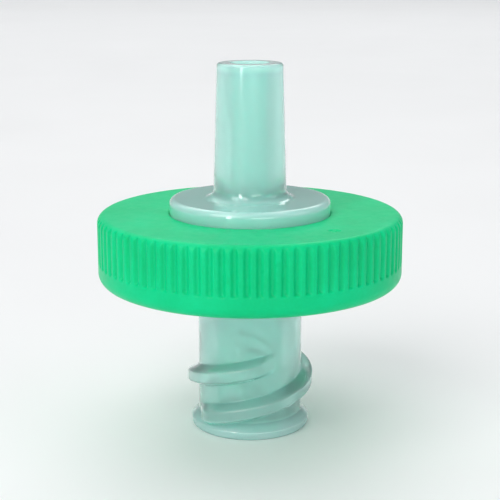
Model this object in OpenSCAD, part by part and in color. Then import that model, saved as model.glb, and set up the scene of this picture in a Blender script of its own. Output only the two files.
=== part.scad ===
// Small syringe filter: a filter disc clamped between two moulded housing
// halves, bound together by a ribbed ring that is moulded over their flanges.
// Millimetres, +Z up. The flow axis is Z. The filter stands on the mouth of
// its inlet hub, and the origin is the centre of that mouth.

/* [Overmould ring] */
// Outer diameter over the ribs
ring_d = 18.5; // [17.6:0.1:20]
// Height of the ring along the flow axis
ring_h = 4.2; // [3.8:0.1:5]
// Diameter of the opening in each face of the ring
ring_open_d = 9.8; // [9.2:0.1:10.2]
// Thickness of the ring's lip over each flange
ring_lip = 0.9; // [0.8:0.05:1]
// Edge radius on the inlet side
ring_edge_inlet = 0.7; // [0.3:0.05:0.8]
// Edge radius on the outlet side
ring_edge_outlet = 0.5; // [0.3:0.05:0.7]
// Number of grip ribs
rib_count = 84; // [60:2:90]
// Depth of the grooves between the ribs
rib_depth = 0.18; // [0.1:0.02:0.24]
// Length of the ribs, measured from the outlet face
rib_len = 2.9; // [2:0.1:3]

/* [Housing plates] */
// Outer diameter of both flanges inside the ring
flange_d = 14.4; // [14.2:0.1:15]
// Height of the inlet plate above the face of the ring
plate_rise_in = 0.85; // [0.5:0.05:1.2]
// Height of the outlet plate above the face of the ring
plate_rise_out = 0.9; // [0.5:0.05:1.2]
// Edge radius of both plates
plate_edge = 0.35; // [0.15:0.05:0.4]

/* [Inlet hub] */
// Distance from the face of the ring to the mouth of the hub
hub_len = 9.2; // [8.6:0.1:10]
// Diameter of the hub below the thread
hub_d = 6.4; // [6.2:0.05:6.7]
// Bore diameter at the mouth, female Luer
luer_mouth_d = 4.3; // [4.27:0.005:4.315]
// Depth of the tapered bore
luer_depth = 7.5; // [7.5:0.05:7.6]
// Length of the straight end of the bore
luer_relief = 0.4; // [0.3:0.05:0.5]
// Diameter over the lock thread
thread_d = 7.8; // [7.73:0.01:7.83]
// Axial advance of the lock thread in one turn, two starts
thread_lead = 5; // [4.8:0.1:5.2]
// Turn of each thread start in degrees
thread_sweep = 288; // [240:12:300]
// Diameter of the rim at the mouth
rim_d = 7.3; // [7:0.05:7.5]
// Orifice between the bore and the inlet chamber
orifice_d = 1.6; // [1.2:0.1:2]

/* [Outlet nozzle] */
// Outer diameter at the tip, male Luer
tip_d = 3.97; // [3.93:0.01:3.99]
// Length of the tapered nozzle
taper_len = 7.5; // [7.5:0.1:8.5]
// Diameter of the outlet bore
nozzle_bore = 2.1; // [1.5:0.1:2.4]
// Radius of the fillet where the nozzle meets its plate
nozzle_fillet = 0.6; // [0.3:0.05:0.8]

/* [Filter disc] */
// Diameter of the glass-fibre disc
disc_d = 13; // [12.8:0.1:13]
// Thickness of the glass-fibre disc
disc_t = 0.36; // [0.3:0.02:0.4]
// Diameter of the wetted area
wet_d = 10.8; // [10:0.1:11]

/* [Hidden] */
$fn = 96;
EPS = 0.02;

luer_slope = 0.03;                       // 6 % on the diameter
ring_r = ring_d / 2;
open_r = ring_open_d / 2;
flange_r = flange_d / 2;
hub_r = hub_d / 2;
rim_r = rim_d / 2;
wet_r = wet_d / 2;
disc_r = disc_d / 2;

z_ring0 = hub_len;                       // inlet face of the ring
z_ring1 = hub_len + ring_h;              // outlet face of the ring
z_mid = (z_ring0 + z_ring1) / 2;
z_disc0 = z_mid - disc_t / 2;            // inlet side of the filter disc
z_disc1 = z_mid + disc_t / 2;            // outlet side of the filter disc
z_fl0 = z_ring0 + ring_lip;              // inlet flange, outer side
z_fl1 = z_ring1 - ring_lip;              // outlet flange, outer side
z_plate0 = z_ring0 - plate_rise_in;      // inlet plate, outer side
z_plate1 = z_ring1 + plate_rise_out;     // outlet plate, outer side
z_taper = z_plate1 + nozzle_fillet;      // where the nozzle's taper starts
z_tip = z_taper + taper_len;

skirt_r = disc_r + 0.1;                  // inner radius of the upstand and the skirt
bore_end_r = luer_mouth_d / 2 - luer_slope * luer_depth;
nozzle_r0 = tip_d / 2 + luer_slope * taper_len;

hub_fillet = 0.4;
mouth_chamfer = 0.12;
rim_t = 0.5;
tip_round = 0.2;

// flow geometry on the inner faces
z_chamber0 = z_disc0 - 0.15;             // inlet chamber at its edge
z_chamber_c = z_disc0 - 0.5;             // inlet chamber at its centre
z_rib_top = z_disc0 - 0.04;              // the flow ribs end just short of the disc
flow_ribs = 8;
flow_rib_w = 0.5;
z_chamber1 = z_disc1 + 0.15;             // floor of the outlet channels
ring_radii = [1.75, 2.75, 3.75, 4.75];   // support rings, middle radius
ring_w = 0.4;
slot_count = 6;
slot_w = 0.6;
rib_r0 = orifice_d / 2 + 0.5;            // inner end of the flow ribs
function floor_z(r) = z_chamber_c + (r - orifice_d / 2) / (wet_r - orifice_d / 2) * (z_chamber0 - z_chamber_c);

// Sliver left between a square corner and an arc that is tangent to both
// of its sides. sx and sy turn it to any of the four corners.
module corner(r, sx, sy) {
    mirror([sx < 0 ? 1 : 0, 0]) mirror([0, sy < 0 ? 1 : 0])
        difference() {
            translate([-EPS, -EPS]) square(r + EPS);
            translate([r, r]) circle(r, $fn = 64);
        }
}

// ------------------------------------------------------------ lock thread

thread_zs = 0.78;                        // middle of the crest at the start
thread_n = 36;                           // sections along one start
thread_in = hub_r - 0.3;                 // the root is sunk into the hub
thread_wc = 0.7;                         // width of the crest
thread_wb = 1.35;                        // width where it meets the hub

function fade(t) = min(1, t / 0.13, (1 - t) / 0.13);
function smooth(u) = u * u * (3 - 2 * u);
function crest_r(t) = hub_r - 0.12 + (thread_d / 2 - hub_r + 0.12) * smooth(max(0, fade(t)));
function flank(t) = (thread_wb - thread_wc) / 2 * (crest_r(t) - thread_in) / (thread_d / 2 - hub_r);

// the four corners of one section: root low, crest low, crest high, root high
function section(t, a0) =
    let (a = a0 + thread_sweep * t,
         z = thread_zs + thread_lead * thread_sweep / 360 * t,
         c = thread_wc / 2,
         f = flank(t))
    [for (p = [[thread_in, -c - f], [crest_r(t), -c], [crest_r(t), c], [thread_in, c + f]])
        [p[0] * cos(a), p[0] * sin(a), z + p[1]]];

module thread_start(a0) {
    pts = [for (i = [0 : thread_n]) each section(i / thread_n, a0)];
    sides = [for (i = [0 : thread_n - 1], k = [0 : 3])
        let (a = 4 * i + k, b = 4 * i + (k + 1) % 4, c = a + 4, d = b + 4)
        each [[a, b, d], [a, d, c]]];
    ends = [[3, 2, 1, 0],
            [4 * thread_n, 4 * thread_n + 1, 4 * thread_n + 2, 4 * thread_n + 3]];
    polyhedron(pts, concat(sides, ends), convexity = 4);
}

// ---------------------------------------------------------- inlet housing

module inlet_profile() {
    difference() {
        union() {
            // hub, plate and flange
            translate([0, 0]) square([hub_r, z_fl0]);
            translate([0, z_plate0]) square([open_r, z_fl0 - z_plate0 + EPS]);
            translate([0, z_fl0]) square([flange_r, z_disc0 - z_fl0]);
            // upstand around the lower half of the filter disc
            translate([skirt_r, z_fl0]) square([flange_r - skirt_r, z_mid - z_fl0]);
            // rim at the mouth, running back into the hub at a slope
            polygon([[0, 0], [rim_r, 0], [rim_r, rim_t], [hub_r, rim_t + rim_r - hub_r], [0, rim_t + rim_r - hub_r]]);
            // fillet between the hub and the plate
            translate([hub_r, z_plate0]) corner(hub_fillet, 1, -1);
        }
        // rounded edges of the plate and the rim
        translate([open_r, z_plate0]) corner(plate_edge, -1, 1);
        translate([rim_r, 0]) corner(0.2, -1, 1);
        // tapered bore with its lead-in, orifice and conical chamber
        polygon([[-1, -1], [luer_mouth_d / 2 + mouth_chamfer + 1, -1],
                 [luer_mouth_d / 2 + mouth_chamfer, 0],
                 [luer_mouth_d / 2 - luer_slope * mouth_chamfer, mouth_chamfer],
                 [bore_end_r, luer_depth], [-1, luer_depth]]);
        translate([-1, luer_depth - EPS]) square([1 + bore_end_r, luer_relief + EPS]);
        translate([-1, luer_depth]) square([1 + orifice_d / 2, z_disc0]);
        polygon([[-1, z_chamber_c], [orifice_d / 2, z_chamber_c],
                 [wet_r, z_chamber0], [wet_r, z_disc0 + 1], [-1, z_disc0 + 1]]);
        translate([-1, z_disc0]) square([1 + skirt_r, 1]);
    }
}

module inlet_housing() {
    color([0.86, 0.93, 0.91]) {
        rotate_extrude() intersection() {
            inlet_profile();
            square([100, 100]);
        }
        for (a = [0, 180]) thread_start(a);
        // flow ribs that stand on the conical floor of the inlet chamber
        intersection() {
            for (i = [0 : flow_ribs - 1]) rotate(i * 360 / flow_ribs)
                translate([0, -flow_rib_w / 2, z_chamber_c - 0.5])
                    cube([wet_r + 1, flow_rib_w, 2]);
            rotate_extrude() polygon([
                [rib_r0, floor_z(rib_r0) - 0.06], [wet_r + 0.06, floor_z(wet_r) - 0.06],
                [wet_r + 0.06, z_rib_top], [rib_r0, z_rib_top]]);
        }
    }
}

// ------------------------------------------------------------ filter disc

module filter_disc() {
    color([0.96, 0.96, 0.94])
        translate([0, 0, z_disc0]) cylinder(d = disc_d, h = disc_t);
}

// --------------------------------------------------------- outlet housing

module outlet_profile() {
    difference() {
        union() {
            // skirt around the upper half of the filter disc, and the flange above it
            translate([skirt_r, z_mid]) square([flange_r - skirt_r, z_fl1 - z_mid]);
            translate([0, z_disc1]) square([flange_r, z_fl1 - z_disc1]);
            // plate
            translate([0, z_fl1 - EPS]) square([open_r, z_plate1 - z_fl1 + EPS]);
            // nozzle: base, fillet and the male Luer taper
            translate([0, z_plate1 - EPS]) square([nozzle_r0, nozzle_fillet + 2 * EPS]);
            translate([nozzle_r0, z_plate1]) corner(nozzle_fillet, 1, 1);
            polygon([[0, z_taper], [nozzle_r0, z_taper], [tip_d / 2, z_tip], [0, z_tip]]);
        }
        translate([open_r, z_plate1]) corner(plate_edge, -1, -1);
        translate([tip_d / 2, z_tip]) corner(tip_round, -1, -1);
        // through bore with a small lead-out at the tip
        translate([-1, z_disc0 - 1]) square([1 + nozzle_bore / 2, z_tip + 1]);
        polygon([[0, z_tip - 0.15 - nozzle_bore / 2], [nozzle_bore / 2 + 0.15 + 1, z_tip + 1], [0, z_tip + 1]]);
        // outlet channels under the filter disc
        translate([-1, z_disc1 - 1]) square([1 + wet_r, z_chamber1 - z_disc1 + 1]);
    }
}

module support_rings() {
    difference() {
        for (r = ring_radii) translate([0, 0, z_disc1]) difference() {
            cylinder(r = r + ring_w / 2, h = z_chamber1 - z_disc1 + 0.2);
            translate([0, 0, -1]) cylinder(r = r - ring_w / 2, h = 4);
        }
        for (i = [0 : slot_count - 1]) rotate(i * 360 / slot_count)
            translate([0, -slot_w / 2, z_disc1 - 1]) cube([wet_r + 1, slot_w, 1 + z_chamber1 - z_disc1]);
    }
}

module outlet_housing() {
    color([0.86, 0.93, 0.91]) {
        rotate_extrude() intersection() {
            outlet_profile();
            square([100, 100]);
        }
        support_rings();
    }
}

// --------------------------------------------------------- overmould ring

module ring_profile() {
    difference() {
        translate([open_r, z_ring0]) square([ring_r - open_r, ring_h]);
        // seat of the two flanges
        translate([0, z_fl0]) square([flange_r, z_fl1 - z_fl0]);
        translate([ring_r, z_ring0]) corner(ring_edge_inlet, -1, 1);
        translate([ring_r, z_ring1]) corner(ring_edge_outlet, -1, -1);
    }
}

module overmould_ring() {
    color([0, 0.8, 0.5])
        difference() {
            rotate_extrude() ring_profile();
            // grooves between the grip ribs, open to the outlet side
            for (i = [0 : rib_count - 1]) rotate((i + 0.5) * 360 / rib_count)
                translate([0, 0, z_ring1 - rib_len]) linear_extrude(rib_len + 1)
                    polygon([[ring_r - rib_depth, -0.09], [ring_r + 0.2, -0.09 - (rib_depth + 0.2) * 0.7],
                             [ring_r + 0.2, 0.09 + (rib_depth + 0.2) * 0.7], [ring_r - rib_depth, 0.09]]);
        }
}

inlet_housing();
filter_disc();
outlet_housing();
overmould_ring();
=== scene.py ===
import bpy, math
import numpy as np
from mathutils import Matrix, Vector


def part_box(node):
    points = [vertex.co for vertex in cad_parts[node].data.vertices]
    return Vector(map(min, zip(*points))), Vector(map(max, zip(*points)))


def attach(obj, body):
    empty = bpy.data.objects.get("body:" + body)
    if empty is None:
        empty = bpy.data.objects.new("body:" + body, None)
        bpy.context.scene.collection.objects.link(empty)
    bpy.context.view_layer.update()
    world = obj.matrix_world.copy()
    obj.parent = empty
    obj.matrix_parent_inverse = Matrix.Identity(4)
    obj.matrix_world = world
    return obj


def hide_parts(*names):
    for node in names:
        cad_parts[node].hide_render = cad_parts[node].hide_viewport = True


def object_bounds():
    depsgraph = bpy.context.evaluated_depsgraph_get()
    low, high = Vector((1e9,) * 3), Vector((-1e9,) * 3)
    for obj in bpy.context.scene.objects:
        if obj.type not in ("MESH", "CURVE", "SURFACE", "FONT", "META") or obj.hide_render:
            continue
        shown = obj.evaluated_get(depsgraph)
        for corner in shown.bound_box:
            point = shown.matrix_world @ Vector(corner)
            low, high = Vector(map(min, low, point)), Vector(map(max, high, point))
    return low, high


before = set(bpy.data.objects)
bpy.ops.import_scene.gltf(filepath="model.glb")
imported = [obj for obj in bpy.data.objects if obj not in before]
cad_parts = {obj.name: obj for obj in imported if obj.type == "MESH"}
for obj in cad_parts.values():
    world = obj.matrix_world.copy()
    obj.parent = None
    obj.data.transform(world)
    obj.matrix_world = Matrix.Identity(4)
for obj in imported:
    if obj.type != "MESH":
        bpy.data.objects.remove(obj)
cad_lo, cad_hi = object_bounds()

scene = bpy.context.scene
MM = 0.001
AIR = 0.008              # mm left between two pieces that touch


def box_mm(node):
    lo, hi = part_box(node)
    return np.array(lo) / MM, np.array(hi) / MM


# ------------------------------------------------------------------ sizes
# Outer sizes come from the frame; the sections inside repeat part.scad.

inlet_lo, inlet_hi = box_mm("inlet_housing")
disc_lo, disc_hi = box_mm("filter_disc")
outlet_lo, outlet_hi = box_mm("outlet_housing")
ring_lo, ring_hi = box_mm("overmould_ring")

z_ring0, z_ring1 = ring_lo[2], ring_hi[2]
ring_r = ring_hi[0]
disc_r = disc_hi[0]
z_disc0, z_disc1 = disc_lo[2], disc_hi[2]
z_tip = outlet_hi[2]
flange_r = outlet_hi[0]
open_r = 4.9
lip = 0.9
z_fl0, z_fl1 = z_ring0 + lip, z_ring1 - lip
z_plate0, z_plate1 = z_ring0 - 0.85, z_ring1 + 0.9
hub_r, rim_r, luer_r = 3.2, 3.65, 2.15
bore_end_r, luer_depth, relief = 2.15 - 0.03 * 7.5, 7.5, 0.4
orifice_r, wet_r, skirt_r = 0.8, 5.4, 6.6
tip_r, nozzle_r0, nozzle_bore_r = 1.985, 2.21, 1.05
z_taper = z_plate1 + 0.6
z_mid = (z_disc0 + z_disc1) / 2
z_chamber0, z_chamber_c, z_chamber1 = z_disc0 - 0.15, z_disc0 - 0.5, z_disc1 + 0.15


# ------------------------------------------------------------- mesh tools

def rounded(loop, spread=15):
    """Corners (r, z, radius, tag, step) of a closed outline -> rows (r, z, tag).
    Each rounded corner gets its arc and one close row on each side, so that the
    flats next to it keep their own normals. Small corners get half as many rows.
    step divides the run that follows."""
    n = len(loop)
    arcs = []
    for i in range(n):
        p0, p, p1 = (np.array(loop[k % n][:2], float) for k in (i - 1, i, i + 1))
        rad = loop[i][2]
        if not rad:
            arcs.append([p])
            continue
        a, b = (p0 - p) / np.linalg.norm(p0 - p), (p1 - p) / np.linalg.norm(p1 - p)
        ang = math.acos(float(np.clip(a @ b, -1, 1)))
        t = rad / math.tan(ang / 2)
        c = p + (a + b) / np.linalg.norm(a + b) * rad / math.sin(ang / 2)
        q0, q1 = p + a * t - c, p + b * t - c
        a0 = math.atan2(q0[1], q0[0])
        d = (math.atan2(q1[1], q1[0]) - a0 + math.pi) % (2 * math.pi) - math.pi
        k = max(3, math.ceil(abs(math.degrees(d)) / (spread if rad > 0.15 else 2 * spread)))
        arcs.append([c + rad * np.array([math.cos(a0 + d * s / k), math.sin(a0 + d * s / k)])
                     for s in range(k + 1)])
    rows = []
    for i in range(n):
        tag, step = loop[i][3], loop[i][4]
        rows += [(*p, tag) for p in arcs[i]]
        p, q = arcs[i][-1], arcs[(i + 1) % n][0]
        run = float(np.linalg.norm(q - p))
        guard = min(0.04, run * 0.2)
        at = []
        if len(arcs[i]) > 1:
            at.append(guard)
        if len(arcs[(i + 1) % n]) > 1:
            at.append(run - guard)
        if step:
            k = max(1, round(run / step))
            at += [run * s / k for s in range(1, k) if guard * 1.5 < run * s / k < run - guard * 1.5]
        if run > 1e-6:
            rows += [(*(p + (q - p) * s / run), tag) for s in sorted(at)]
    return [a for a, b in zip(rows, rows[1:] + rows[:1]) if math.dist(a[:2], b[:2]) > 1e-4]


def add_mesh(name, co, faces, mats, index=None, sharp=50):
    """One closed mesh, its faces turned outwards, smooth but for real corners."""
    me = bpy.data.meshes.new(name)
    me.from_pydata(co.tolist(), [], faces)
    me.validate()
    tri = np.array([q[:3] for q in faces] + [(q[0], q[2], q[3]) for q in faces if len(q) == 4])
    a, b, c = co[tri[:, 0]], co[tri[:, 1]], co[tri[:, 2]]
    if float(np.einsum("ij,ij->i", a, np.cross(b, c)).sum()) < 0:
        me.flip_normals()
    for m in mats:
        me.materials.append(m)
    if index is not None:
        me.polygons.foreach_set("material_index", np.array(index, np.int32))
    me.shade_smooth()
    me.set_sharp_from_angle(angle=math.radians(sharp))
    ob = bpy.data.objects.new(name, me)
    scene.collection.objects.link(ob)
    return ob


def lathe(name, rows, angles, warp, mats, which):
    """A ring-shaped solid: rows (r, z, tag) turned through angles[row, column].
    warp moves the points; which gives the material of a tag."""
    n, m = angles.shape
    r = np.repeat(np.array([p[0] for p in rows])[:, None], m, 1)
    z = np.repeat(np.array([p[1] for p in rows])[:, None], m, 1)
    tags = [p[2] for p in rows]
    if warp:
        r, z = warp(r, z, angles, tags)
    co = np.stack([r * np.cos(angles), r * np.sin(angles), z], -1).reshape(-1, 3) * MM
    co[np.abs(co) < 1e-12] = 0.0
    i, j = np.meshgrid(np.arange(n), np.arange(m), indexing="ij")
    i2, j2 = (i + 1) % n, (j + 1) % m
    faces = np.stack([i * m + j, i * m + j2, i2 * m + j2, i2 * m + j], -1).reshape(-1, 4)
    index = np.repeat([which.get(t, 0) for t in tags], m)
    return add_mesh(name, co, faces.tolist(), mats, index)


def even(rows, m):
    return np.repeat((np.arange(m) * 2 * math.pi / m)[None, :], len(rows), 0)


def soft_max(a, b, k):
    h = np.clip(0.5 + 0.5 * (a - b) / k, 0, 1)
    return b + (a - b) * h + k * h * (1 - h)


def soft_min(a, b, k):
    return -soft_max(-a, -b, k)


def step01(x, lo, hi):
    u = np.clip((x - lo) / (hi - lo), 0, 1)
    return u * u * (3 - 2 * u)


def sector_angles(rows, sectors, half, marks, per, r_in, r_out):
    """Columns that follow the straight sides of bars or slots of half width half.
    marks are distances from the bar's side in mm; per is columns in half a sector.
    Rows nearer than r_in or further than r_out keep the columns of that radius."""
    base = math.pi / sectors
    out = np.zeros((len(rows), 2 * per * sectors))
    for i, row in enumerate(rows):
        r = min(max(row[0], r_in), r_out)
        side = [math.asin(min(0.98, (half + d) / r)) for d in marks]
        inner = 4                                     # columns across half a bar
        head = [side[0] * k / inner for k in range(inner)]
        rest = per - inner - len(side)
        tail = [side[-1] + (base - side[-1]) * (k + 1) / (rest + 1) for k in range(rest + 1)]
        h = head + side + tail                        # 0 .. base, per + 1 values
        one = h[:-1] + [2 * base - a for a in h[:0:-1]]
        out[i] = np.concatenate([np.array(one) + 2 * base * s for s in range(sectors)])
    return out


# -------------------------------------------------------------- materials

class Nodes:
    """A short way to write a node tree around one Principled shader."""

    def __init__(self, name):
        self.mat = bpy.data.materials.new(name)
        self.mat.use_nodes = True
        self.nt = self.mat.node_tree
        self.bsdf = self.nt.nodes["Principled BSDF"]
        self.co = self.new("ShaderNodeTexCoord").outputs["Object"]

    def new(self, kind, **values):
        node = self.nt.nodes.new(kind)
        for k, v in values.items():
            setattr(node, k, v)
        return node

    def link(self, a, b):
        self.nt.links.new(a, b)

    def stretch(self, scale, turn=(0, 0, 0)):
        m = self.new("ShaderNodeMapping")
        m.inputs["Scale"].default_value = scale
        m.inputs["Rotation"].default_value = turn
        self.link(self.co, m.inputs["Vector"])
        return m.outputs[0]

    def noise(self, scale, detail=3, rough=0.5, distortion=0.0, at=None):
        t = self.new("ShaderNodeTexNoise")
        t.inputs["Scale"].default_value = scale
        t.inputs["Detail"].default_value = detail
        t.inputs["Roughness"].default_value = rough
        t.inputs["Distortion"].default_value = distortion
        self.link(at or self.co, t.inputs["Vector"])
        return t.outputs["Fac"]

    def ramp(self, fac, stops):
        r = self.new("ShaderNodeValToRGB")
        els = r.color_ramp.elements
        for at, _ in stops[1:-1]:
            els.new(at)
        for e, (at, c) in zip(els, stops):
            e.position, e.color = at, (*c, 1)
        self.link(fac, r.inputs["Fac"])
        return r.outputs["Color"]

    def span(self, fac, lo, hi, f0=0.3, f1=0.7, kind="LINEAR"):
        m = self.new("ShaderNodeMapRange", interpolation_type=kind)
        for k, v in (("From Min", f0), ("From Max", f1), ("To Min", lo), ("To Max", hi)):
            m.inputs[k].default_value = v
        self.link(fac, m.inputs["Value"])
        return m.outputs["Result"]

    def math(self, op, a, b):
        m = self.new("ShaderNodeMath", operation=op)
        for s, v in zip(m.inputs, (a, b)):
            if isinstance(v, (int, float)):
                s.default_value = v
            else:
                self.link(v, s)
        return m.outputs[0]

    def bump(self, height, distance, strength=1.0, over=None):
        b = self.new("ShaderNodeBump")
        b.inputs["Distance"].default_value = distance
        b.inputs["Strength"].default_value = strength
        self.link(height, b.inputs["Height"])
        if over:
            self.link(over, b.inputs["Normal"])
        return b.outputs["Normal"]

    def set(self, **values):
        for k, v in values.items():
            s = self.bsdf.inputs[k.replace("_", " ")]
            if hasattr(v, "is_output"):
                self.link(v, s)
            else:
                s.default_value = v


def clear_plastic(name, rough, haze, fine, skin):
    """Natural polypropylene as moulded: it blurs what is seen through it under a glossy
    skin, with slow waves, a faint cool tint and a haze that grows with the wall. haze
    lists the milky share at heights in mm, thin hub and nozzle against thick rim and
    plates; fine is the depth of the grain in metres."""
    n = Nodes(name)
    slow = n.noise(260, 3, 0.55, 0.6)
    flow = n.noise(900, 2, 0.5, 0.3, n.stretch((1, 1, 0.06)))
    thin = n.ramp(slow, [(0.25, (0.58, 0.96, 0.87)), (0.75, (0.67, 0.98, 0.92))])
    thick = n.ramp(slow, [(0.25, (0.40, 0.90, 0.77)), (0.75, (0.48, 0.94, 0.83))])
    sep = n.new("ShaderNodeSeparateXYZ")
    n.link(n.co, sep.inputs[0])
    height = n.math("DIVIDE", sep.outputs["Z"], z_tip * MM)
    through = n.ramp(height, [(z / z_tip, (1 - h, 1 - h, 1 - h)) for z, h in haze])
    through.node.color_ramp.interpolation = "EASE"
    tint = n.new("ShaderNodeMix", data_type="RGBA")
    n.link(through, tint.inputs["Factor"])
    n.link(thick, tint.inputs["A"])
    n.link(thin, tint.inputs["B"])
    through = n.math("MULTIPLY", through, n.span(slow, 0.95, 1.0))
    wave = n.bump(flow, 0.00003, 0.10)
    grain = n.bump(n.noise(9000, 4, 0.6), fine, 0.6, wave)
    n.set(Base_Color=tint.outputs["Result"], Roughness=n.span(n.noise(1400, 4, 0.6), rough * 0.9, rough * 1.1),
          IOR=1.49, Coat_Weight=skin, Coat_Roughness=0.05, Transmission_Weight=through, Subsurface_Weight=1.0,
          Subsurface_Radius=(1.0, 1.0, 1.0), Subsurface_Scale=0.0012, Normal=grain)
    return n.mat


def green_plastic(name):
    """Opaque green polypropylene: soft satin gloss, fine moulded grain and slow colour."""
    n = Nodes(name)
    slow = n.noise(240, 4, 0.55, 0.8)
    fleck = n.noise(5200, 3, 0.6)
    tone = n.ramp(n.math("ADD", n.math("MULTIPLY", slow, 0.8), n.math("MULTIPLY", fleck, 0.2)),
                  [(0.3, (0.001, 0.53, 0.20)), (0.5, (0.001, 0.59, 0.235)), (0.72, (0.002, 0.65, 0.275))])
    satin = n.span(n.noise(1900, 4, 0.6), 0.30, 0.42)
    wave = n.bump(n.noise(700, 2, 0.5), 0.00002, 0.35)
    grain = n.bump(n.noise(11000, 3, 0.55), 0.0000035, 0.5, wave)
    n.set(Base_Color=tone, Roughness=satin, IOR=1.49, Specular_IOR_Level=0.13, Subsurface_Weight=0.25,
          Subsurface_Radius=(0.1, 1.0, 0.6), Subsurface_Scale=0.0005, Normal=grain)
    return n.mat


def glass_fibre(name):
    """Pressed glass-fibre felt: three crossing sets of fine fibres on soft clumps."""
    n = Nodes(name)
    sets = [n.noise(5200, 3, 0.6, 1.2, n.stretch(s, r)) for s, r in
            (((1, 0.12, 1), (0, 0, 0.5)), ((1, 0.12, 1), (0, 0, 1.6)), ((1, 0.12, 1), (0, 0, 2.6)))]
    fibre = n.math("MAXIMUM", n.math("MAXIMUM", sets[0], sets[1]), sets[2])
    clump = n.noise(1500, 4, 0.6)
    tone = n.ramp(fibre, [(0.45, (0.80, 0.80, 0.775)), (0.62, (0.90, 0.90, 0.885)), (0.8, (0.95, 0.95, 0.94))])
    felt = n.bump(fibre, 0.00002, 0.9, n.bump(clump, 0.00003, 0.5))
    n.set(Base_Color=tone, Roughness=n.span(clump, 0.82, 0.97), IOR=1.45, Specular_IOR_Level=0.2,
          Sheen_Weight=0.15, Sheen_Roughness=0.6, Subsurface_Weight=0.4,
          Subsurface_Radius=(1.0, 1.0, 1.0), Subsurface_Scale=0.0003, Normal=felt)
    return n.mat


def floor_material():
    n = Nodes("studio_floor")
    tone = n.ramp(n.noise(9, 4, 0.5), [(0.3, (0.83, 0.835, 0.84)), (0.7, (0.85, 0.855, 0.86))])
    n.set(Base_Color=tone, Roughness=n.span(n.noise(60, 3, 0.5), 0.5, 0.62),
          Normal=n.bump(n.noise(2600, 3, 0.6), 0.00001, 0.25))
    return n.mat


haze = ((0, 0.78), (0.6, 0.66), (1.2, 0.32), (7.6, 0.31), (8.6, 0.70), (14.1, 0.70), (15.0, 0.31), (21.8, 0.31),
        (22.4, 0.55))
pp_clear = clear_plastic("pp_clear", 0.10, haze, 0.0000012, 0.8)
pp_satin = clear_plastic("pp_satin", 0.38, haze, 0.000004, 0.0)
pp_green = green_plastic("pp_green")
felt = glass_fibre("glass_fibre")


# ---------------------------------------------------------- inlet housing

lead, sweep, thread_zs, crest_r = 5.0, 288.0, 0.78, 3.9
half_c, half_b = 0.35, 0.675                      # half widths of crest and root
rib_r0, rib_top, rib_half, ribs = orifice_r + 0.5, z_disc0 - 0.045, 0.25, 8


def thread_height(theta, z):
    """How far the two lock thread starts stand above the hub."""
    high = np.zeros_like(z)
    for a0 in (0.0, 180.0):
        turn = (np.degrees(theta) - a0) % 360
        for lap in (0.0,):
            t = (turn + lap) / sweep
            fade = np.clip(np.minimum(t / 0.13, (1 - t) / 0.13), 0, 1)
            tall = (crest_r - hub_r) * fade * fade * (3 - 2 * fade)
            dz = np.abs(z - (thread_zs + lead * sweep / 360 * t))
            flank = (half_b - dz) / (half_b - half_c)
            shape = soft_min(np.maximum(flank, -0.6), np.ones_like(z), 0.30)
            high = np.maximum(high, np.where(t <= 1, tall * np.clip(shape, 0, 1), 0))
    return high


def warp_inlet(r, z, theta, tags):
    for i, tag in enumerate(tags):
        if tag == "hub" and 0.1 < z[i, 0] < 6:
            root = hub_r + thread_height(theta[i], z[i])
            r[i] = np.where(root > hub_r + 1e-4, soft_max(r[i], root, 0.10) - 0.025 * np.exp(-((r[i] - root) / 0.05) ** 2), r[i])
            r[i] = np.maximum(r[i], hub_r)
        if tag == "cone" and rib_r0 - 0.08 < r[i, 0] < wet_r + 0.01:
            off = r[i] * np.abs(np.sin((theta[i] + math.pi / ribs) % (2 * math.pi / ribs) - math.pi / ribs))
            side = 1 - step01(off, rib_half - 0.035, rib_half + 0.035)
            ends = step01(r[i], rib_r0 - 0.05, rib_r0 + 0.05)
            z[i] = z[i] + 0.95 * np.maximum(0, rib_top - z[i]) * side * ends
    return r, z


rows = rounded([
    (luer_r + 0.12, 0, 0.03, "bore", 0),
    (luer_r - 0.03 * 0.12, 0.12, 0.03, "bore", 1.5),
    (bore_end_r, luer_depth, 0, "bore", 0),
    (bore_end_r, luer_depth + relief, 0.15, "bore", 0),
    (orifice_r, luer_depth + relief, 0.08, "bore", 0),
    (orifice_r, z_chamber_c, 0.10, "cone", 0.16),
    (wet_r, z_chamber0, 0.05, "cone", 0),
    (wet_r, z_disc0, 0.04, "seat", 0.3),
    (skirt_r, z_disc0, 0.05, "seat", 0),
    (skirt_r, z_mid - AIR / 2, 0.04, "seat", 0),
    (flange_r - AIR, z_mid - AIR / 2, 0.06, "seat", 0),
    (flange_r - AIR, z_fl0 + AIR, 0.08, "seat", 0),
    (open_r - AIR, z_fl0 + AIR, 0, "plate", 0),
    (open_r - AIR, z_plate0, 0.35, "plate", 0),
    (hub_r, z_plate0, 0.40, "hub", 0),
    (hub_r, 5.9, 0, "hub", 0.042),
    (hub_r, 0.5 + rim_r - hub_r, 0.10, "hub", 0.06),
    (rim_r, 0.5, 0.08, "hub", 0.06),
    (rim_r, 0, 0.20, "mouth", 0),
])
inlet_angles = sector_angles(rows, ribs, rib_half, [-0.05, -0.025, -0.008, 0.008, 0.025, 0.05], 18, rib_r0, wet_r)
even_angles = even(rows, inlet_angles.shape[1])
blend = np.array([{"cone": 1.0, "seat": 1.0}.get(t, 0.0) for _, _, t in rows])
first = next(k for k, row in enumerate(rows) if row[2] == "cone")
for k in range(first):
    if rows[k][1] > luer_depth + relief - 0.2:
        blend[k] = (k + 1) / (first + 1) if rows[k][0] < 1.5 else 0.0
inlet_angles = even_angles * (1 - blend[:, None]) + inlet_angles * blend[:, None]
inlet = lathe("inlet_housing_moulding", rows, inlet_angles, warp_inlet, [pp_clear, pp_satin],
              {"cone": 1, "seat": 1})

# --------------------------------------------------------- outlet housing

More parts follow.
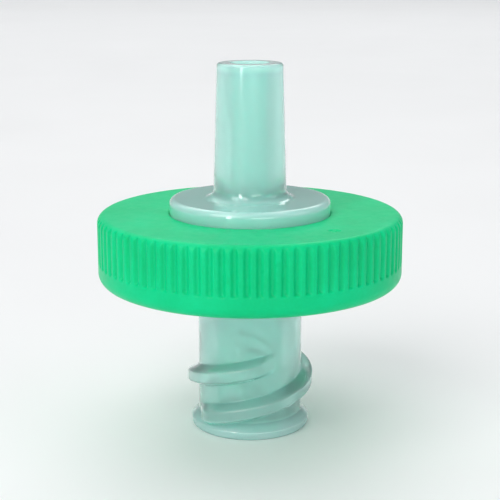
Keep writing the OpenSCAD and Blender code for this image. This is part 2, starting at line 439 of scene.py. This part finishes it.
support = (1.75, 2.75, 3.75, 4.75)
slots, slot_half = 6, 0.3


def warp_outlet(r, z, theta, tags):
    for i, tag in enumerate(tags):
        if tag == "channel" and 1.2 < r[i, 0] < wet_r - 0.1:
            up = np.zeros_like(r[i])
            for c in support:
                up = np.maximum(up, 1 - step01(np.abs(r[i] - c), 0.17, 0.23))
            off = r[i] * np.abs(np.sin((theta[i] + math.pi / slots) % (2 * math.pi / slots) - math.pi / slots))
            cut = step01(off, slot_half - 0.03, slot_half + 0.03)
            z[i] = z[i] - (z_chamber1 - z_disc1 - AIR) * up * cut
    return r, z


channel = []
for c in support[::-1]:
    for d in (0.26, 0.235, 0.215, 0.20, 0.185, 0.165, 0.14, 0.0, -0.14, -0.165, -0.185, -0.20, -0.215, -0.235, -0.26):
        channel.append((c + d, z_chamber1, 0, "channel", 0))
rows = rounded([
    (nozzle_bore_r, z_tip - 0.15, 0.05, "tip", 0),
    (nozzle_bore_r + 0.15, z_tip, 0.04, "tip", 0),
    (tip_r, z_tip, 0.20, "nozzle", 0.9),
    (nozzle_r0, z_taper, 0, "nozzle", 0),
    (nozzle_r0, z_plate1, 0.60, "plate", 0),
    (open_r - AIR, z_plate1, 0.35, "plate", 0),
    (open_r - AIR, z_fl1 - AIR, 0, "seat", 0),
    (flange_r - AIR, z_fl1 - AIR, 0.08, "seat", 0),
    (flange_r - AIR, z_mid + AIR / 2, 0.06, "seat", 0),
    (skirt_r, z_mid + AIR / 2, 0.04, "seat", 0),
    (skirt_r, z_disc1, 0.05, "seat", 0.3),
    (wet_r, z_disc1, 0.04, "channel", 0),
    (wet_r, z_chamber1, 0.04, "channel", 0),
    *channel,
    (nozzle_bore_r, z_chamber1, 0.10, "bore", 2.0),
], 12)
outlet_angles = sector_angles(rows, slots, slot_half, [-0.045, -0.022, -0.007, 0.007, 0.022, 0.045], 24, 1.3, wet_r)
even_angles = even(rows, outlet_angles.shape[1])
blend = np.array([1.0 if t in ("channel", "seat") else 0.0 for _, _, t in rows])
outlet_angles = even_angles * (1 - blend[:, None]) + outlet_angles * blend[:, None]
outlet = lathe("outlet_housing_moulding", rows, outlet_angles, warp_outlet, [pp_clear, pp_satin],
               {"channel": 1, "seat": 1})

# --------------------------------------------------------- overmould ring

rib_count, rib_depth, rib_len = 84, 0.18, 2.9
z_rib0 = z_ring1 - rib_len
gate_r, gate_turn, gate_half, gate_deep = 7.15, math.radians(-62), 0.42, 0.09


def warp_ring(r, z, theta, tags):
    """Grooves between the grip ribs, with round crests and a short run-out, and one
    shallow dimple with the stub of the gate in the upper face."""
    pitch = 2 * math.pi / rib_count
    for i, tag in enumerate(tags):
        if tag == "rim" and z[i, 0] > z_rib0 - 0.12:
            across = np.abs((theta[i] % pitch) - pitch / 2) * ring_r      # mm from the groove's middle
            wide = 0.09 + 0.7 * rib_depth                                 # half width at the top
            shape = 1 - step01(across, 0.055, wide + 0.035)
            run = step01(z[i], z_rib0 - 0.04, z_rib0 + 0.14)
            bottom = ring_r - rib_depth * shape * run
            r[i] = np.minimum(soft_min(r[i], bottom, 0.02), ring_r)
        if tag == "face" and z[i, 0] > z_ring1 - 0.01:
            away = np.hypot(r[i] * np.cos(theta[i]) - gate_r * math.cos(gate_turn),
                            r[i] * np.sin(theta[i]) - gate_r * math.sin(gate_turn))
            dish = 1 - step01(away, gate_half - 0.16, gate_half)
            stub = 1 - step01(away, 0.09, 0.20)
            z[i] = z[i] - gate_deep * dish * (1 - 0.85 * stub)
    return r, z


rows = rounded([
    (open_r, z_ring0, 0.10, "face", 0.5),
    (ring_r, z_ring0, 0.70, "rim", 0),
    (ring_r, z_rib0 - 0.1, 0, "rim", 0.03),
    (ring_r, z_rib0 + 0.2, 0, "rim", 0.35),
    (ring_r, z_ring1, 0.50, "face", 0.5),
    *[(gate_r + 0.46 - 0.046 * k, z_ring1, 0, "face", 0) for k in range(21)],
    (gate_r - 0.6, z_ring1, 0, "face", 0.5),
    (open_r, z_ring1, 0.10, "lip", 0),
    (open_r, z_fl1, 0, "lip", 0),
    (flange_r, z_fl1, 0, "lip", 0),
    (flange_r, z_fl0, 0, "lip", 0),
    (open_r, z_fl0, 0, "lip", 0),
], 9)
rows = [(r, z, "rim" if r > ring_r - 0.6 else t) for r, z, t in rows]
ring = lathe("grip_ring", rows, even(rows, rib_count * 12), warp_ring, [pp_green], {})

# ------------------------------------------------------------ filter disc

def fuzz(x, y, seed):
    """Smooth seeded noise on a grid, about -1..1."""
    rng = np.random.default_rng(seed)
    total = np.zeros_like(x)
    for k in range(28):
        a, f, p = rng.uniform(0, math.tau), rng.uniform(2.5, 13), rng.uniform(0, math.tau)
        total += np.sin((x * math.cos(a) + y * math.sin(a)) * f + p) / 4.5
    return np.clip(total, -1, 1)


m = 240
radii = np.concatenate([np.linspace(0.1, disc_r - 0.12, 78), disc_r - 0.06 + 0.06 * np.sin(np.linspace(-0.8, 1.4, 5)) - 0.005])
theta = np.arange(m) * math.tau / m
R, T = np.meshgrid(radii, theta, indexing="ij")
X, Y = R * np.cos(T), R * np.sin(T)
loose = 1 - step01(R, wet_r - 0.15, wet_r + 0.05)           # free of the clamp
press = np.zeros_like(R)
for c in support:
    press = np.maximum(press, 1 - step01(np.abs(R - c), 0.16, 0.34))
edge = step01(R, disc_r - 0.12, disc_r)
top = z_disc1 - AIR - 0.02 * edge + loose * (1 - press) * 0.035 + 0.006 * fuzz(X, Y, 3) * loose * (1 - press)
low = z_disc0 + AIR + 0.02 * edge - loose * 0.018 + 0.006 * fuzz(X, Y, 8) * loose
n = len(radii)
co = np.concatenate([
    np.stack([X, Y, top], -1).reshape(-1, 3),
    np.stack([X, Y, low], -1).reshape(-1, 3),
    [[0, 0, float(top[0].mean())], [0, 0, float(low[0].mean())]],
]) * MM
faces = []
for i in range(n - 1):
    for j in range(m):
        k = (j + 1) % m
        faces.append([i * m + j, (i + 1) * m + j, (i + 1) * m + k, i * m + k])
        faces.append([(n + i) * m + j, (n + i) * m + k, (n + i + 1) * m + k, (n + i + 1) * m + j])
for j in range(m):
    k = (j + 1) % m
    faces.append([(n - 1) * m + j, (2 * n - 1) * m + j, (2 * n - 1) * m + k, (n - 1) * m + k])
    faces.append([j, k, 2 * n * m])
    faces.append([n * m + k, n * m + j, 2 * n * m + 1])
disc = add_mesh("glass_fibre_disc", co, faces, [felt])

# ---------------------------------------------------------------- joining

for piece, node, slot in (
    (inlet, "inlet_housing", "housing_clear"),
    (outlet, "outlet_housing", "housing_clear"),
    (ring, "overmould_ring", "ring_green"),
    (disc, "filter_disc", "disc_white"),
):
    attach(piece, "root")
    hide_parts(node)

# ----------------------------------------------------------------- studio

centre = (cad_lo + cad_hi) / 2


def studio_floor():
    """A pale sheet that lies flat under the part and runs on to the far sides."""
    me = bpy.data.meshes.new("floor")
    s = 6.0
    me.from_pydata([(-s, -s, 0), (s, -s, 0), (s, s, 0), (-s, s, 0)], [], [(0, 1, 2, 3)])
    ob = bpy.data.objects.new("floor", me)
    me.materials.append(floor_material())
    scene.collection.objects.link(ob)


def softbox(name, azimuth, elevation, distance, width, height, power, colour=(1, 1, 1)):
    """A soft area light that looks at the part."""
    light = bpy.data.lights.new(name, "AREA")
    light.shape, light.size, light.size_y = "RECTANGLE", width, height
    light.energy, light.color = power, colour
    ob = bpy.data.objects.new(name, light)
    a, e = math.radians(azimuth), math.radians(elevation)
    back = Vector((math.sin(a) * math.cos(e), -math.cos(a) * math.cos(e), math.sin(e)))
    ob.location = centre + back * distance
    ob.rotation_mode = "QUATERNION"
    ob.rotation_quaternion = (-back).to_track_quat("-Z", "Y")
    scene.collection.objects.link(ob)
    return ob


studio_floor()
softbox("key", -52, 40, 0.60, 0.46, 0.46, 1.95, (1.0, 0.985, 0.97))
strip = softbox("strip", -44, 14, 0.55, 0.06, 0.42, 0.8)
strip.visible_diffuse = strip.visible_transmission = False
softbox("fill", 62, 24, 0.66, 0.34, 0.26, 0.36, (0.96, 0.985, 1.0))
softbox("front", 4, 10, 0.70, 0.40, 0.20, 0.74)
softbox("top", 180, 70, 1.30, 1.20, 1.20, 5.4)
softbox("back", 160, 34, 0.62, 0.36, 0.16, 0.26)
sweep = softbox("sweep", 180, 35, 1.22, 1.80, 0.70, 2.4)
sweep.rotation_quaternion = (1, 0, 0, 0)      # straight down on the floor behind

world = bpy.data.worlds.new("studio")
world.use_nodes = True
nt = world.node_tree
sky = nt.nodes.new("ShaderNodeTexCoord")
up = nt.nodes.new("ShaderNodeSeparateXYZ")
fade = nt.nodes.new("ShaderNodeValToRGB")
glow = ((0.0, 0.56), (0.09, 0.50), (0.20, 0.26), (0.42, 0.36), (1.0, 0.62))      # by height
for at, _ in glow[1:-1]:
    fade.color_ramp.elements.new(at)
for e, (at, v) in zip(fade.color_ramp.elements, glow):
    e.position, e.color = at, (v * 0.96, v * 0.98, v, 1)
nt.links.new(sky.outputs["Generated"], up.inputs[0])
nt.links.new(up.outputs["Z"], fade.inputs["Fac"])
nt.links.new(fade.outputs["Color"], nt.nodes["Background"].inputs["Color"])
scene.world = world
scene.view_settings.view_transform = "Standard"
scene.view_settings.look = "None"

cam = bpy.data.cameras.new("camera")
cam.lens, cam.sensor_width = 90, 36
cam.clip_start, cam.clip_end = 0.005, 20
eye = bpy.data.objects.new("camera", cam)
azimuth, elevation = math.radians(-14), math.radians(13.5)
back = Vector((math.sin(azimuth) * math.cos(elevation), -math.cos(azimuth) * math.cos(elevation), math.sin(elevation)))
eye.location = centre + Vector((0, 0, -0.0002)) + back * 0.0765
eye.rotation_mode = "QUATERNION"
eye.rotation_quaternion = (-back).to_track_quat("-Z", "Y")
scene.collection.objects.link(eye)
scene.camera = eye
